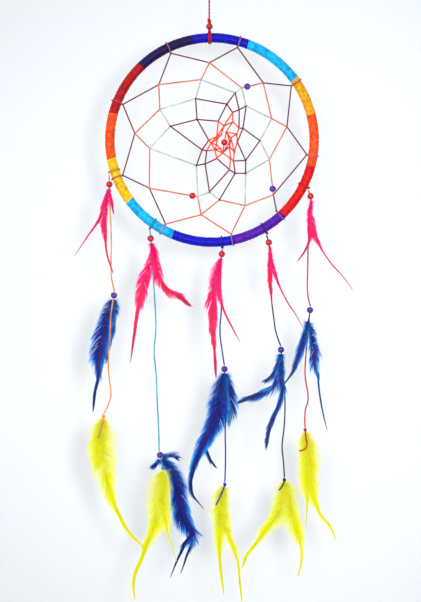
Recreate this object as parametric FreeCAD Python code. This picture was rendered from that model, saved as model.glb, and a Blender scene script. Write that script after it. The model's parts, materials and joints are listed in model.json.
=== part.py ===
import FreeCAD
import Part
import math
import os

# Dream catcher: a wrapped hoop with a knotted thread web, hung from a cord, and five threads
# below it that each carry beads and three groups of feathers.
# Frame: +Z up, the front faces -Y, the origin is where a hook bears in the hanging eye.
# All lengths are in millimetres, and all angles on the hoop run from +X towards +Z.

V = FreeCAD.Vector
UP = V(0, 0, 1)
BACK = V(0, 1, 0)

# ---- driving dimensions ----
HOOP_OD = 200.0            # over the wrapping
CORE_D = 5.0               # cane ring inside the wrapping
CORE_FIT = 0.03            # air between the ring and its wrapping
WRAP_T = 2.05              # wall of the wound ribbon
WRAP_GAP_DEG = 0.3         # where the ribbon's two ends meet, under the top hitch
HITCH_DEG = 91.3           # where the hanging cord is tied on the hoop

THREAD_D = 1.4             # web thread and hanging threads
CORD_D = 1.6               # doubled cord that the hoop hangs by
SEAT = 0.05                # air under anything that is tied round the wrapping

BEAD_D = 6.2
BEAD_FIT = 0.3             # air round the thread in a bead's hole
TOP_BEAD_FIT = 0.2
TOP_BEAD_D = 6.4
WEB_KNOT_D = 2.1
THREAD_KNOT_D = 2.8
HITCH_KNOT_D = 3.2
TOP_KNOT_D = 3.7
EYE_KNOT_D = 5.2
EYE_KNOT_H = 5.0
KNOT_ROUNDING = 0.4        # rim radius of a knot, as a share of its diameter
EYE_ROUNDING = 0.13
WEB_ROUNDING = 0.1         # small, so that the thread leaves a web knot through its straight side

EYE_H = 19.3               # from the knot to where the hook bears
EYE_SEAT = 0.2             # from the knot to the eye's two ends
EYE_SIDE = [(0.95, 0), (1.5, 3.6), (5.2, 7.6), (7.0, 13.0), (5.2, 18.2)]   # out, up from its foot
EYE_CROWN = 20.4           # height of the route's top corner
HITCH_SHIFT = 0.7          # of the cord's diameter, from the hanger's hitch to each of its turns
HANG_CORD_L = 33.0         # from the eye's knot to the knot on the top bead
JOINT_GAP = 0.15           # air between a swinging end and what it hangs from
BEAD_DROP = 0.3            # from the end of a thread to the bead that swings on it
THREAD_START = 1.2         # from a swinging end to the next stretch of thread

STRAND_Y = 3.2             # odd threads hang this far in front of the web, even ones behind it
FEATHER_T = 0.8            # one feather, front to back
FEATHER_AIR = 0.15         # between one feather and the next
QUILL_D = 1.0
TIP_D = 0.6
VANE_STEPS = (0.12, 0.3, 0.5, 0.7, 0.86, 1.0)   # where a vane's outline has its points
TAIL_STEPS = (0.25, 0.5, 0.75, 1.0)             # and the thin end's below it
FULLEST = 0.75             # under 1, a vane is widest above its middle
SHOULDER = 1.4             # over 1, its outline runs smoothly into the quill and the thin end

# ---- worked out from them ----
TUBE_R = CORE_D / 2 + CORE_FIT + WRAP_T
HOOP_R = HOOP_OD / 2 - TUBE_R
THREAD_R = THREAD_D / 2
CORD_R = CORD_D / 2
BEAD_R = BEAD_D / 2
BEAD_HOLE_D = THREAD_D + 2 * BEAD_FIT
HITCH_TOP = HOOP_OD / 2 + SEAT + HITCH_KNOT_D
TOP_BEAD_Z = HITCH_TOP + SEAT + TOP_BEAD_D / 2
TOP_KNOT_Z = TOP_BEAD_Z + TOP_BEAD_D / 2 + TOP_KNOT_D / 2
CORD_FOOT = TOP_KNOT_Z + TOP_KNOT_D / 2 + JOINT_GAP
EYE_KNOT_Z = -EYE_H - EYE_KNOT_H
SWING_Z = EYE_KNOT_Z - JOINT_GAP - CORD_R
HITCH_TURN = math.radians(HITCH_DEG)
HOOP_Z = SWING_Z - HANG_CORD_L - (CORD_FOOT - TOP_KNOT_Z) - TOP_KNOT_Z * math.sin(HITCH_TURN)
HOOP_X = -TOP_KNOT_Z * math.cos(HITCH_TURN)

# ---- the web ----
# Angles of the nine hitches on the hoop, then the knots of the inner rounds, in the order in
# which the thread is tied. Knot k + 9 is a half hitch on the stretch from knot k to knot k + 1.
# The inner knots are given on a hoop whose clear inside is WEB_BASIS_R.
WEB_BASIS_R = 90.9
WEB_KNOT_OFF = 1.15        # from the wrapping to the middle of each hitch's knot
ROUND = 9
SEAM_TURN = 40.0           # keeps the stretches' seams out of the plane that they all share
HOOP_HITCHES = [-47.8, -8.8, 34.3, 74.6, 115.4, 158.3, 201.6, 241.1, 281.5]
INNER_KNOTS = [
    (57.3, -51.2), (70.0, 12.3), (47.9, 53.3), (-2.4, 72.2), (-49.7, 51.7),
    (-72.1, 6.1), (-58.5, -45.0), (-10.2, -69.8), (30.9, -61.3),
    (53.6, -18.2), (55.7, 20.0), (27.7, 48.7), (-10.2, 56.4), (-48.8, 28.6),
    (-58.2, -7.8), (-13.3, -53.0), (6.9, -55.9), (31.4, -31.1),
    (44.8, -0.6), (31.9, 31.7), (21.6, 44.0), (-15.3, 38.6), (-38.9, 12.8),
    (-14.5, -23.8), (-2.4, -48.6), (21.6, -31.1), (31.4, -19.1),
    (28.9, 10.9), (25.4, 28.3), (13.8, 33.5), (-14.0, 19.2), (-9.3, -9.2),
    (-6.4, -22.3), (16.4, -27.8), (20.1, -19.6), (23.7, -1.9),
    (25.2, 11.1), (19.2, 25.7), (5.8, 17.5), (-3.0, -0.2), (-5.0, -10.1),
    (4.5, -17.3), (17.3, -17.3), (20.8, -11.0), (23.0, 5.5),
    (19.5, 17.0), (11.1, 13.0), (4.5, 3.0), (-0.9, -2.8), (2.8, -9.1),
    (9.9, -12.0), (16.4, -6.5), (17.6, 2.0), (13.2, 7.4),
]
# The thread's last loops, drawn in tight round the middle bead. Each is tied between two of the
# last knots, and the linked ones are joined to the next loop as well.
LAST_LOOPS = [(8.7, 5.0), (4.9, 0.6), (4.2, -4.6), (7.6, -7.8), (12.8, -7.6), (16.4, -2.3),
              (15.2, 3.4)]
LINKED_LOOPS = [0, 1, 2, 4, 5]
# Each bead of the web: name, the two knots that its stretch runs between, distance from the first
WEB_BEADS = [
    ("web_bead_upper", 20, 11, 5.4),
    ("web_bead_right", 9, 18, 5.6),
    ("web_bead_lower", 24, 15, 5.0),
    ("web_bead_centre", 62, 59, 9.8),
]

# ---- the five hanging threads ----
# hitch: the angle on the hoop. bead: how far below the hitch the first bead sits. upper and
# lower: the thread's route from the hitch, and from the second bead, as (x, z) steps from there.
# tail: the thread's loose end below its last knot. Each feather is (tip x, tip z, bow, width,
# vane, tail width): its tip from where its quill is tied, how far it bows to the right, its
# widest, the share of its length that the vane takes, and the width of the thin end below that.
# side is -1 in front of the thread and 1 behind it. The feathers clear the thread, or past if given.
# bare is the quill above the vane.
STRANDS = [
    {
        "hitch": 197.5,
        "bead": 9.2,
        "upper": [(0, 0), (0.4, -30), (2.3, -60), (1.4, -85.5), (2.2, -99.2), (5.1, -109.3)],
        "lower": [(-4.0, -20.2), (-4.1, -43.6), (-6.4, -62.2), (-5.3, -81.7), (-2.0, -99.7),
                  (-10.4, -114.2)],
        "tail": [(-0.6, -9.5), (-5.2, -22.3)],
        "pink": {"side": -1, "bare": 1.5, "feathers": [
            (2.2, -78.5, -6.6, 7.5, 0.46, 1.6), (-32.1, -62.9, 1.0, 5.0, 0.35, 1.0),
            (3.2, -22.9, 1.0, 3.2, 0.9, 1.0)]},
        "blue": {"side": 1, "bare": 1.5, "feathers": [
            (-18.4, -105.1, -6.7, 15.0, 0.5, 3.0), (-11.3, -73.7, -4.0, 9.0, 0.7, 1.5),
            (-1.6, -39.3, 3.0, 6.0, 0.95, 1.0)]},
        "yellow": {"side": 1, "bare": 2.5, "feathers": [
            (34.0, -117.0, -13.0, 17.0, 0.38, 4.0), (-6.4, -44.1, -2.0, 16.0, 0.95, 2.0)]},
    },
    {
        "hitch": 234.8,
        "bead": 7.6,
        "upper": [(0, 0), (1.4, -18.9), (2.9, -43.2), (5.1, -75.0), (5.7, -95.5), (3.1, -113.3),
                  (5.8, -132.0), (6.4, -157.2), (8.1, -182.4), (8.5, -206.7)],
        "lower": [(3.3, -13.5)],
        "tail": [(0.4, -6.5)],
        "pink": {"side": -1, "bare": 1.5, "feathers": [
            (-18.5, -112.2, -0.5, 12.0, 0.38, 2.0), (36.5, -61.3, -12.0, 9.0, 0.75, 2.0)]},
        "blue": {"side": 1, "past": THREAD_KNOT_D / 2, "bare": 1.5, "feathers": [
            (9.1, -111.8, 12.0, 15.0, 0.62, 2.5), (16.0, -106.5, 10.0, 10.0, 0.62, 2.0)]},
        "yellow": {"side": -1, "bare": 2.0, "feathers": [
            (-26.9, -120.0, 4.0, 20.0, 0.42, 4.0), (13.0, -85.3, -6.5, 5.0, 0.5, 1.8)]},
    },
    {
        "hitch": 275.5,
        "bead": 4.4,
        "upper": [(0, 0), (-1.7, -14.4), (-1.6, -35.4), (-0.6, -56.2), (-2.8, -75.9),
                  (-0.4, -93.6), (1.9, -108.1)],
        "lower": [(0.4, -18.3), (1.9, -37.8), (0.5, -61.2), (1.4, -85.8), (0.4, -108.8)],
        "tail": [(-1.7, -9.3), (-8.4, -21.5)],
        "pink": {"side": -1, "bare": 1.5, "feathers": [
            (-4.7, -112.4, -3.2, 9.0, 0.65, 2.5), (17.3, -78.1, -7.6, 6.5, 0.5, 1.0)]},
        "blue": {"side": 1, "bare": 1.5, "feathers": [
            (-18.5, -127.5, -12.0, 19.0, 0.5, 2.5), (-8.0, -89.2, -8.5, 14.0, 0.55, 2.0),
            (3.2, -40.7, 2.0, 9.0, 0.95, 2.0)]},
        "yellow": {"side": 1, "bare": 3.5, "feathers": [
            (-0.2, -100.1, -3.0, 13.0, 0.35, 4.0), (16.8, -109.1, 1.0, 8.0, 0.3, 3.5)]},
    },
    {
        "hitch": 300.5,
        "bead": 7.1,
        "upper": [(0, 0), (3.4, -10.5), (2.2, -25.7), (3.5, -51.9), (6.6, -76.2), (8.5, -92.1),
                  (13.4, -103.7)],
        "lower": [(0.6, -16.6), (3.3, -36.1), (4.1, -56.1), (3.2, -76.6), (0.6, -93.6),
                  (2.7, -108.6), (3.3, -122.9)],
        "tail": [(-1.1, -8.2), (-5.2, -12.0)],
        "pink": {"side": -1, "bare": 1.5, "feathers": [
            (1.9, -55.3, -1.8, 4.0, 0.5, 1.5), (28.2, -72.0, -6.0, 3.0, 0.3, 1.0)]},
        "blue": {"side": -1, "bare": 1.5, "feathers": [
            (-14.3, -87.4, 5.0, 8.0, 0.5, 4.5), (-40.0, -46.6, 12.8, 7.5, 0.8, 2.5)]},
        "yellow": {"side": 1, "bare": 1.5, "feathers": [
            (-35.8, -74.2, 3.0, 13.0, 0.4, 4.0), (11.1, -89.0, 6.0, 14.0, 0.4, 3.5)]},
    },
    {
        "hitch": 333.5,
        "bead": 5.9,
        "upper": [(0, 0), (3.5, -10.4), (1.5, -26.9), (-0.4, -47.9), (-0.6, -71.4),
                  (-1.3, -90.9), (-0.2, -101.4), (1.8, -108.3)],
        "lower": [(-1.6, -15.1), (-3.0, -33.1), (-4.8, -52.1), (-5.2, -67.1), (-1.0, -86.1),
                  (-6.1, -99.1), (-4.9, -112.9)],
        "tail": [(0.3, -8.2), (2.2, -16.5), (-0.2, -21.2), (-5.8, -21.8)],
        "pink": {"side": -1, "bare": 1.5, "feathers": [
            (38.0, -84.1, -9.7, 6.0, 0.38, 1.0), (-12.1, -56.5, 4.2, 3.5, 0.6, 1.2)]},
        "blue": {"side": -1, "bare": 8.5, "feathers": [
            (16.8, -107.1, -0.5, 10.0, 0.42, 1.3), (-20.4, -59.0, 2.0, 6.0, 0.7, 1.2)]},
        "yellow": {"side": 1, "bare": 1.5, "feathers": [
            (28.6, -100.7, -10.0, 16.0, 0.5, 3.5), (1.8, -89.2, -1.0, 12.0, 0.55, 2.2)]},
    },
]

RUN_SHARE = 0.45           # of the shorter run that each arc of a cord takes up


def unit(v):
    """v at length 1."""
    return V(v).normalize()


def hoop_point(angle_deg, radius, y=0.0):
    """A point at this angle and distance from the hoop's centre."""
    a = math.radians(angle_deg)
    return V(HOOP_X + radius * math.cos(a), y, HOOP_Z + radius * math.sin(a))


def hoop_tangent(angle_deg):
    """The direction along the hoop at this angle."""
    a = math.radians(angle_deg)
    return V(-math.sin(a), 0, math.cos(a))


def route_edges(name, points):
    """Straight runs joined by tangent arcs, and their length. Prints each arc's radius."""
    edges = []
    radii = []
    start = points[0]
    for before, corner, after in zip(points, points[1:], points[2:]):
        a = unit(corner - before)
        b = unit(after - corner)
        half_turn = a.getAngle(b) / 2
        reach = RUN_SHARE * min((corner - before).Length, (after - corner).Length)
        radius = reach / math.tan(half_turn)
        radii.append(radius)
        arc_start = corner - a * reach
        arc_end = corner + b * reach
        middle = corner + unit(b - a) * (radius / math.cos(half_turn) - radius)
        edges.append(Part.LineSegment(start, arc_start).toShape())
        edges.append(Part.Arc(arc_start, middle, arc_end).toShape())
        start = arc_end
    edges.append(Part.LineSegment(start, points[-1]).toShape())
    length = sum(edge.Length for edge in edges)
    if radii:
        print(name, "length", round(length, 1), "radii", [round(r, 1) for r in radii])
    return edges, length


def tube(name, points, radius):
    """A round cord along a route, with its volume checked against section times length."""
    edges, length = route_edges(name, points)
    axis = unit(points[1] - points[0])
    profile = Part.Wire([Part.makeCircle(radius, points[0], axis)])
    solid = Part.Wire(edges).makePipeShell([profile], True, True)
    expected = math.pi * radius ** 2 * length
    if abs(solid.Volume - expected) > 0.01 * expected:
        raise ValueError(name + " has the wrong volume")
    return solid


def round_end(solid, centre, direction, radius):
    """The cord with a half ball on one of its ends."""
    ball = Part.makeSphere(radius, centre, direction, 0, 90, 360)
    return solid.fuse(ball)


def bead(centre, axis, diameter, hole_d):
    """A ball with a hole along axis."""
    ball = Part.makeSphere(diameter / 2, centre)
    hole = Part.makeCylinder(hole_d / 2, 2 * diameter, centre - axis * diameter, axis)
    return ball.cut(hole)


def hoop_ring(angle_deg, wire_r, shift=0.0):
    """One turn of thread round the wrapping, moved along the hoop by shift."""
    axis = hoop_tangent(angle_deg)
    centre = hoop_point(angle_deg, HOOP_R) + axis * shift
    ring = Part.makeTorus(TUBE_R + SEAT + wire_r, wire_r, centre, axis)
    ring.rotate(centre, axis, SEAM_TURN)
    return ring


def knot_lump(centre, axis, diameter, height, rounding=KNOT_ROUNDING):
    """A pulled-tight knot: a barrel along axis with rounded rims."""
    lump = Part.makeCylinder(diameter / 2, height, centre - axis * (height / 2), axis)
    rims = [e for e in lump.Edges if e.Curve.TypeId == "Part::GeomCircle"]
    return lump.makeFillet(rounding * diameter, rims)


def save(name, shape):
    """Writes one node."""
    if not shape.isValid():
        raise ValueError(name + " is not valid")
    shape.exportStep("parts/" + name + ".step")
    print(name, "solids", len(shape.Solids), "volume", round(shape.Volume, 1))


def make_hoop():
    """The cane ring and the ribbon wound round it."""
    save("hoop_core", Part.makeTorus(HOOP_R, CORE_D / 2, V(HOOP_X, 0, HOOP_Z), V(0, 1, 0)))
    section_at = hoop_point(HITCH_DEG + WRAP_GAP_DEG / 2, HOOP_R)
    normal = hoop_tangent(HITCH_DEG + WRAP_GAP_DEG / 2)
    outer = Part.Face(Part.Wire([Part.makeCircle(TUBE_R, section_at, normal)]))
    inner = Part.Face(Part.Wire([Part.makeCircle(CORE_D / 2 + CORE_FIT, section_at, normal)]))
    section = outer.cut(inner)
    save("hoop_wrap", section.revolve(V(HOOP_X, 0, HOOP_Z), V(0, -1, 0), 360 - WRAP_GAP_DEG))


def web_knots():
    """The places of all the web's knots, in the order in which they are tied."""
    clear_r = HOOP_R - TUBE_R
    scale = clear_r / WEB_BASIS_R
    on_hoop = [hoop_point(a, clear_r - WEB_KNOT_OFF) for a in HOOP_HITCHES]
    inner = INNER_KNOTS + LAST_LOOPS
    return on_hoop + [V(HOOP_X + scale * x, 0, HOOP_Z + scale * z) for x, z in inner]


def web_stretches(knots):
    """The pairs of knots that a stretch of thread joins."""
    loops = len(LAST_LOOPS)
    last = len(knots) - 1 - loops
    pairs = []
    for k in range(last):
        hitch = k + ROUND
        if hitch <= last:
            pairs += [(k, hitch), (hitch, k + 1)]
        else:
            pairs.append((k, k + 1))
    for loop in range(loops):
        near = last - loops + loop
        pairs += [(near, last + 1 + loop), (last + 1 + loop, near + 1)]
    pairs += [(last + 1 + loop, last + 2 + loop) for loop in LINKED_LOOPS]
    return pairs + [(last, last - 3)]


def make_web():
    """The one thread of the web, knotted to itself, and the beads on it."""
    knots = web_knots()
    pieces = [knot_lump(p, BACK, WEB_KNOT_D, WEB_KNOT_D, WEB_ROUNDING) for p in knots]
    pieces += [hoop_ring(a, THREAD_R) for a in HOOP_HITCHES]
    for a, b in web_stretches(knots):
        step = knots[b] - knots[a]
        stretch = Part.makeCylinder(THREAD_R, step.Length, knots[a], step)
        stretch.rotate(knots[a], step, SEAM_TURN)
        pieces.append(stretch)
    save("web_thread", pieces[0].multiFuse(pieces[1:]))
    for name, a, b, along in WEB_BEADS:
        axis = unit(knots[b] - knots[a])
        save(name, bead(knots[a] + axis * along, axis, BEAD_D, BEAD_HOLE_D))


def make_hanger():
    """The eye, the cord below it, and what ties the cord to the hoop's top."""
    foot = EYE_KNOT_Z + EYE_KNOT_H + EYE_SEAT
    crown = V(0, 0, foot + EYE_CROWN)
    left = [V(-x, 0, foot + z) for x, z in EYE_SIDE]
    right = [V(x, 0, foot + z) for x, z in reversed(EYE_SIDE)]
    save("eye_loop", tube("eye_loop", left + [crown] + right, CORD_R))

    knot_at = V(0, 0, EYE_KNOT_Z + EYE_KNOT_H / 2)
    save("eye_knot", knot_lump(knot_at, UP, EYE_KNOT_D, EYE_KNOT_H, EYE_ROUNDING))

    swing = V(0, 0, SWING_Z)
    cord = Part.makeCylinder(CORD_R, HANG_CORD_L, swing, V(0, 0, -1))
    save("hanging_cord", round_end(cord, swing, UP, CORD_R))

    save("top_knot", Part.makeSphere(TOP_KNOT_D / 2, hoop_point(HITCH_DEG, TOP_KNOT_Z)))
    up = unit(hoop_point(HITCH_DEG, 1) - hoop_point(HITCH_DEG, 0))
    bead_at = hoop_point(HITCH_DEG, TOP_BEAD_Z)
    save("top_bead", bead(bead_at, up, TOP_BEAD_D, CORD_D + 2 * TOP_BEAD_FIT))

    knot_r = HITCH_KNOT_D / 2
    knot_at = hoop_point(HITCH_DEG, HOOP_OD / 2 + SEAT + knot_r)
    shank_l = TOP_BEAD_Z + TOP_BEAD_D / 2 - SEAT - (HOOP_OD / 2 + SEAT + knot_r)
    shift = HITCH_SHIFT * CORD_D
    turns = [hoop_ring(HITCH_DEG, CORD_R, shift), hoop_ring(HITCH_DEG, CORD_R, -shift)]
    shank = Part.makeCylinder(CORD_R, shank_l, knot_at, up)
    save("hanger_hitch", Part.makeSphere(knot_r, knot_at).multiFuse(turns + [shank]))


def feather(root, y_low, bare, spec):
    """One flat feather, quill up, with its outline made from a bowed middle line."""
    tip_x, tip_z, bow, width, vane, tail = spec
    tip = root + V(tip_x, 0, tip_z)
    chord = tip - root
    length = chord.Length
    across = V(-chord.z, 0, chord.x) * (1 / length)
    if across.x < 0:
        across = across * -1
    control = root + chord * 0.5 + across * (2 * bow)
    vane_start = bare / length
    shares = [0, vane_start / 2, vane_start]
    shares += [vane_start + (vane - vane_start) * s for s in VANE_STEPS]
    shares += [vane + (1 - vane) * s for s in TAIL_STEPS]
    left = []
    right = []
    for share in shares:
        middle = root * (1 - share) ** 2 + control * (2 * share * (1 - share)) + tip * share ** 2
        along = (control - root) * (1 - share) + (tip - control) * share
        normal = unit(V(-along.z, 0, along.x))
        if share <= vane_start:
            half = QUILL_D / 2
        elif share <= vane:
            rise = (share - vane_start) / (vane - vane_start)
            swell = max(0, math.sin(math.pi * rise ** FULLEST)) ** SHOULDER
            half = tail / 2 + (width - tail) / 2 * swell
        else:
            fall = (share - vane) / (1 - vane)
            half = tail / 2 + (TIP_D - tail) / 2 * fall
        left.append(middle - normal * half)
        right.append(middle + normal * half)
    sides = []
    for side in (left, right):
        curve = Part.BSplineCurve()
        curve.interpolate(side)
        sides.append(curve.toShape())
    ends = [Part.LineSegment(left[0], right[0]).toShape()]
    ends.append(Part.LineSegment(left[-1], right[-1]).toShape())
    outline = Part.Wire(Part.__sortEdges__(sides + ends))
    face = Part.Face(outline)
    face.translate(V(0, y_low - root.y, 0))
    return face.extrude(V(0, FEATHER_T, 0))


def feather_group(name, root, group):
    """The feathers tied at one place, one behind the other, as separate solids."""
    solids = []
    for place, spec in enumerate(group["feathers"]):
        near = group.get("past", THREAD_R) + FEATHER_AIR + place * (FEATHER_T + FEATHER_AIR)
        offset = near if group["side"] > 0 else -near - FEATHER_T
        solids.append(feather(root, root.y + offset, group["bare"], spec))
    save(name, Part.Compound(solids))


def from_point(origin, steps):
    """Route points from (x, z) steps that are all measured from origin."""
    return [origin + V(x, 0, z) for x, z in steps]


def strand_places(number):
    """Where a strand is tied, bends at its second bead, and ends, and its knot on the hoop."""
    strand = STRANDS[number - 1]
    y = -STRAND_Y if number % 2 else STRAND_Y
    knot_off = TUBE_R + SEAT + THREAD_KNOT_D / 2
    out = math.sqrt(knot_off ** 2 - STRAND_Y ** 2)
    knot = hoop_point(strand["hitch"], HOOP_R + out, y)
    top = knot - V(0, 0, THREAD_KNOT_D / 2 + JOINT_GAP + THREAD_R)
    bend = top + V(strand["upper"][-1][0], 0, strand["upper"][-1][1])
    end = bend + V(strand["lower"][-1][0], 0, strand["lower"][-1][1])
    return {"knot": knot, "top": top, "bend": bend, "end": end}


def make_strand(number):
    """One hanging thread: hitch, bead and pink feathers, bead and blue, knot and yellow."""
    strand = STRANDS[number - 1]
    places = strand_places(number)
    mark = "_" + str(number)

    knot = places["knot"]
    outward = unit(knot - hoop_point(strand["hitch"], HOOP_R))
    tie = hoop_ring(strand["hitch"], THREAD_R)
    save("hitch" + mark, tie.fuse(knot_lump(knot, outward, THREAD_KNOT_D, THREAD_KNOT_D)))

    upper = from_point(places["top"], strand["upper"])
    first = unit(upper[1] - upper[0])
    thread = tube("upper_thread" + mark, upper, THREAD_R)
    thread = round_end(thread, upper[0], first * -1, THREAD_R)
    thread = round_end(thread, upper[-1], unit(upper[-1] - upper[-2]), THREAD_R)
    save("upper_thread" + mark, thread)
    red_at = upper[0] + first * strand["bead"]
    save("red_bead" + mark, bead(red_at, first, BEAD_D, BEAD_HOLE_D))
    feather_group("pink_feathers" + mark, red_at + first * (BEAD_R + JOINT_GAP), strand["pink"])

    steps = from_point(places["bend"], strand["lower"])
    second = unit(steps[0] - places["bend"])
    lower = [places["bend"] + second * THREAD_START] + steps
    thread = tube("lower_thread" + mark, lower, THREAD_R)
    thread = round_end(thread, lower[-1], unit(lower[-1] - lower[-2]), THREAD_R)
    save("lower_thread" + mark, thread)
    purple_at = places["bend"] + second * (BEAD_DROP + BEAD_R)
    save("purple_bead" + mark, bead(purple_at, second, BEAD_D, BEAD_HOLE_D))
    blue_root = purple_at + second * (BEAD_R + JOINT_GAP)
    feather_group("blue_feathers" + mark, blue_root, strand["blue"])

    knot_at = places["end"] - V(0, 0, THREAD_R + JOINT_GAP + THREAD_KNOT_D / 2)
    tail = tube("tail" + mark, [knot_at] + from_point(places["end"], strand["tail"]), THREAD_R)
    lump = knot_lump(knot_at, UP, THREAD_KNOT_D, THREAD_KNOT_D)
    save("end_knot" + mark, lump.fuse(tail))
    yellow_root = knot_at - V(0, 0, THREAD_KNOT_D / 2 + JOINT_GAP)
    feather_group("yellow_feathers" + mark, yellow_root, strand["yellow"])


os.makedirs("parts", exist_ok=True)
make_hanger()
make_hoop()
make_web()
for strand_number in range(1, len(STRANDS) + 1):
    make_strand(strand_number)
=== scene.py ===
import json
import math

import bpy
import numpy as np
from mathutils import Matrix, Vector


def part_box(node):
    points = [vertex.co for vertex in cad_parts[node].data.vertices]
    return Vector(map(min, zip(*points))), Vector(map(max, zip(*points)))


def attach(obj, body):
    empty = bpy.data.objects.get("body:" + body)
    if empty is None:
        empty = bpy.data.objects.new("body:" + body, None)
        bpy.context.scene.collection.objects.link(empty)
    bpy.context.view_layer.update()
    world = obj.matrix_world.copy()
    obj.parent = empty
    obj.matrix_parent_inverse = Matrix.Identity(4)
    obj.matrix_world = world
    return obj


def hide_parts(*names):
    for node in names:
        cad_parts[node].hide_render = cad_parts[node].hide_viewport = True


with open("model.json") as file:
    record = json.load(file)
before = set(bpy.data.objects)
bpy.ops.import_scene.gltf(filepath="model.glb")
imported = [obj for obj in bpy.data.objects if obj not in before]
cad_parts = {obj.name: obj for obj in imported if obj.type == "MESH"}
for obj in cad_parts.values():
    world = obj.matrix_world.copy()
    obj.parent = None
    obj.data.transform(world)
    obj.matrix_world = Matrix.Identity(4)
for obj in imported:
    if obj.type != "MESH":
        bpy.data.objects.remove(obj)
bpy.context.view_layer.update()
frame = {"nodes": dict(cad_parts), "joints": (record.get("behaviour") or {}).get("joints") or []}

# Lengths in this script are in millimetres until to_m() turns them into the frame's metres.
MM = 0.001

# ---- where things are ----
joint_at = {j["name"]: np.array(j["pos_m"]) / MM for j in frame["joints"]}
ring_low, ring_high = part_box("hoop_core")
HOOP_X = (ring_low.x + ring_high.x) / 2 / MM
HOOP_Z = (ring_low.z + ring_high.z) / 2 / MM
CENTRE = (HOOP_X, 0.0, HOOP_Z)
# The hoop is measured over its wrapping, and TUBE_R is the wrapped ring's own radius
HOOP_OD = 200.0
TUBE_R = 4.58
HOOP_R = HOOP_OD / 2 - TUBE_R
SEAT = 0.05
THREAD_D = 1.4
THREAD_R = THREAD_D / 2
KNOT_D = 2.8
JOINT_GAP = 0.15
CORD_D = 1.6
BEAD_D = 6.2
TOP_BEAD_D = 6.4
BEAD_HOLE_D = 2.0
WEB_KNOT_OFF = 1.15
HITCH_ANGLE = 91.3
SWING_Z = joint_at["hoop_swing"][2]
CORD_FOOT_Z = joint_at["hoop_twist"][2]

# ---- the web: hitches on the hoop, then the knots of the inner rounds, from the hoop's centre ----
ROUND = 9
HOOP_HITCHES = [-47.8, -8.8, 34.3, 74.6, 115.4, 158.3, 201.6, 241.1, 281.5]
INNER_KNOTS = [
    (57.3, -51.2), (70.0, 12.3), (47.9, 53.3), (-2.4, 72.2), (-49.7, 51.7),
    (-72.1, 6.1), (-58.5, -45.0), (-10.2, -69.8), (30.9, -61.3),
    (53.6, -18.2), (55.7, 20.0), (27.7, 48.7), (-10.2, 56.4), (-48.8, 28.6),
    (-58.2, -7.8), (-13.3, -53.0), (6.9, -55.9), (31.4, -31.1),
    (44.8, -0.6), (31.9, 31.7), (21.6, 44.0), (-15.3, 38.6), (-38.9, 12.8),
    (-14.5, -23.8), (-2.4, -48.6), (21.6, -31.1), (31.4, -19.1),
    (28.9, 10.9), (25.4, 28.3), (13.8, 33.5), (-14.0, 19.2), (-9.3, -9.2),
    (-6.4, -22.3), (16.4, -27.8), (20.1, -19.6), (23.7, -1.9),
    (25.2, 11.1), (19.2, 25.7), (5.8, 17.5), (-3.0, -0.2), (-5.0, -10.1),
    (4.5, -17.3), (17.3, -17.3), (20.8, -11.0), (23.0, 5.5),
    (19.5, 17.0), (11.1, 13.0), (4.5, 3.0), (-0.9, -2.8), (2.8, -9.1),
    (9.9, -12.0), (16.4, -6.5), (17.6, 2.0), (13.2, 7.4),
]
# Each bead's name, the knots it is between, how far it is from the first one, and its colour
WEB_BEADS = [
    ("web_bead_upper", 20, 11, 5.4, "bead_violet"),
    ("web_bead_right", 9, 18, 5.6, "bead_violet"),
    ("web_bead_lower", 24, 15, 5.0, "bead_red"),
    ("web_bead_centre", 62, 59, 9.8, "bead_red"),
]
# The thread's colour up to each knot, in the order in which it is tied
WEB_COLOURS = [(7, "web_mauve"), (17, "web_orange"), (25, "web_grey"), (42, "web_plum"),
               (63, "web_red")]

# The thread's last loops, drawn in tight round the middle bead
LAST_LOOPS = [(8.7, 5.0), (4.9, 0.6), (4.2, -4.6), (7.6, -7.8), (12.8, -7.6), (16.4, -2.3),
              (15.2, 3.4)]
# Those of them that a stretch joins to the next one
LINKED_LOOPS = [0, 1, 2, 4, 5]

# ---- the ribbon's runs on the hoop: angle where each begins, counter-clockwise, and its colour ----
RIBBON_RUNS = [
    (-46.0, "ribbon_red"), (-16.0, "ribbon_orange"), (14.5, "ribbon_amber"), (37.0, "ribbon_cyan"),
    (70.0, "ribbon_blue"), (100.0, "ribbon_dark_violet"), (134.0, "ribbon_deep_red"),
    (164.5, "ribbon_orange"), (190.7, "ribbon_yellow"), (217.0, "ribbon_cyan"),
    (248.0, "ribbon_blue"), (282.0, "ribbon_violet"),
]

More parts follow.
